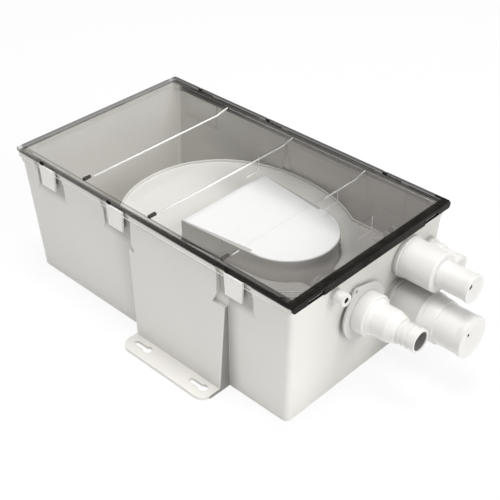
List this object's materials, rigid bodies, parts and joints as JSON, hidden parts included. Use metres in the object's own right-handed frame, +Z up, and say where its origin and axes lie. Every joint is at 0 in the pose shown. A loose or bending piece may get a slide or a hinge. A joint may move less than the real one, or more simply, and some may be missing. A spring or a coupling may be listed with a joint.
{
  "type": "shower sump pump",
  "caption": "White tub with a smoked clear lid and snap clips, hose fittings at one end, and a float-switched pump inside a strainer shroud.",
  "frame": {"origin": "centre of the tub's underside", "axes": "+X towards the hose fittings, +Y to the far long side, +Z up through the lid"},
  "size_m": [0.4125, 0.2476, 0.1294],
  "materials": {
    "tub_plastic": "moulded, satin",
    "fitting_plastic": "moulded, smooth",
    "smoked_clear": "smoked clear plastic, polished",
    "black_rubber": "soft rubber",
    "steel": "stainless",
    "laminated_steel": "stacked sheet steel",
    "copper": "copper segments",
    "ferrite": "sintered ferrite",
    "carbon": "pressed carbon",
    "pump_plastic": "moulded",
    "black_plastic": "moulded",
    "float_plastic": "hollow moulding, drawn solid",
    "label_film": "plain film"
  },
  "bodies": {
    "tub": {"sump_box": "tub_plastic", "discharge_fitting": "fitting_plastic", "discharge_gasket": "black_rubber", "discharge_nut": "fitting_plastic", "discharge_screws": "steel", "large_inlet": "fitting_plastic", "large_gasket": "black_rubber", "large_nut": "fitting_plastic", "large_valve_ring": "pump_plastic", "medium_inlet": "fitting_plastic", "medium_gasket": "black_rubber", "medium_nut": "fitting_plastic", "medium_valve_ring": "pump_plastic", "small_inlet": "fitting_plastic", "small_gasket": "black_rubber", "small_nut": "fitting_plastic", "small_valve_ring": "pump_plastic", "flap_pins": "steel", "cable_gland": "fitting_plastic", "strainer_shroud": "tub_plastic", "shroud_screws": "tub_plastic", "pump_base": "pump_plastic", "pump_housing": "pump_plastic", "pump_label": "label_film", "impeller_casing": "pump_plastic", "outlet_riser": "pump_plastic", "discharge_hose": "black_rubber", "hose_clamps": "steel", "motor_can": "steel", "motor_cap": "black_plastic", "field_magnets": "ferrite", "brushes": "carbon", "lower_bearing": "steel", "upper_bearing": "steel", "shaft_seal": "black_rubber", "float_pin": "steel", "float_switch": "black_plastic"},
    "cover": {"lid": "smoked_clear", "lid_seal": "black_rubber"},
    "clip_near_1_lever": {"clip_near_1": "tub_plastic"},
    "clip_near_2_lever": {"clip_near_2": "tub_plastic"},
    "clip_near_3_lever": {"clip_near_3": "tub_plastic"},
    "clip_far_1_lever": {"clip_far_1": "tub_plastic"},
    "clip_far_2_lever": {"clip_far_2": "tub_plastic"},
    "clip_far_3_lever": {"clip_far_3": "tub_plastic"},
    "rotor": {"motor_shaft": "steel", "armature": "laminated_steel", "commutator": "copper", "impeller": "pump_plastic"},
    "float": {"float_body": "float_plastic"},
    "large_check": {"large_flap": "black_rubber"},
    "medium_check": {"medium_flap": "black_rubber"},
    "small_check": {"small_flap": "black_rubber"}
  },
  "joints": [
    {"name": "lid_lift", "type": "slide", "parent": "tub", "child": "cover", "axis": [0, 0, 1], "range_m": [0, 0.06]},
    {"name": "clip_near_1_rock", "type": "hinge", "parent": "tub", "child": "clip_near_1_lever", "pos_m": [-0.124, -0.0963, 0.109], "axis": [1, 0, 0], "range_deg": [0, 8]},
    {"name": "clip_near_2_rock", "type": "hinge", "parent": "tub", "child": "clip_near_2_lever", "pos_m": [-0.031, -0.0963, 0.109], "axis": [1, 0, 0], "range_deg": [0, 8]},
    {"name": "clip_near_3_rock", "type": "hinge", "parent": "tub", "child": "clip_near_3_lever", "pos_m": [0.11, -0.0963, 0.109], "axis": [1, 0, 0], "range_deg": [0, 8]},
    {"name": "clip_far_1_rock", "type": "hinge", "parent": "tub", "child": "clip_far_1_lever", "pos_m": [-0.124, 0.0963, 0.109], "axis": [-1, 0, 0], "range_deg": [0, 8]},
    {"name": "clip_far_2_rock", "type": "hinge", "parent": "tub", "child": "clip_far_2_lever", "pos_m": [-0.031, 0.0963, 0.109], "axis": [-1, 0, 0], "range_deg": [0, 8]},
    {"name": "clip_far_3_rock", "type": "hinge", "parent": "tub", "child": "clip_far_3_lever", "pos_m": [0.11, 0.0963, 0.109], "axis": [-1, 0, 0], "range_deg": [0, 8]},
    {"name": "motor_spin", "type": "hinge", "parent": "tub", "child": "rotor", "pos_m": [0.0765, 0, 0.05], "axis": [0, 0, 1], "continuous": true},
    {"name": "float_swing", "type": "hinge", "parent": "tub", "child": "float", "pos_m": [0.037, 0, 0.032], "axis": [0, 1, 0], "range_deg": [0, 30]},
    {"name": "large_flap_swing", "type": "hinge", "parent": "tub", "child": "large_check", "pos_m": [0.1488, 0.0415, 0.07735], "axis": [0, 1, 0], "range_deg": [0, 35]},
    {"name": "medium_flap_swing", "type": "hinge", "parent": "tub", "child": "medium_check", "pos_m": [0.1488, 0.046, 0.1145], "axis": [0, 1, 0], "range_deg": [0, 55]},
    {"name": "small_flap_swing", "type": "hinge", "parent": "tub", "child": "small_check", "pos_m": [0.1488, 0.0772, 0.1002], "axis": [0, 1, 0], "range_deg": [0, 55]}
  ]
}
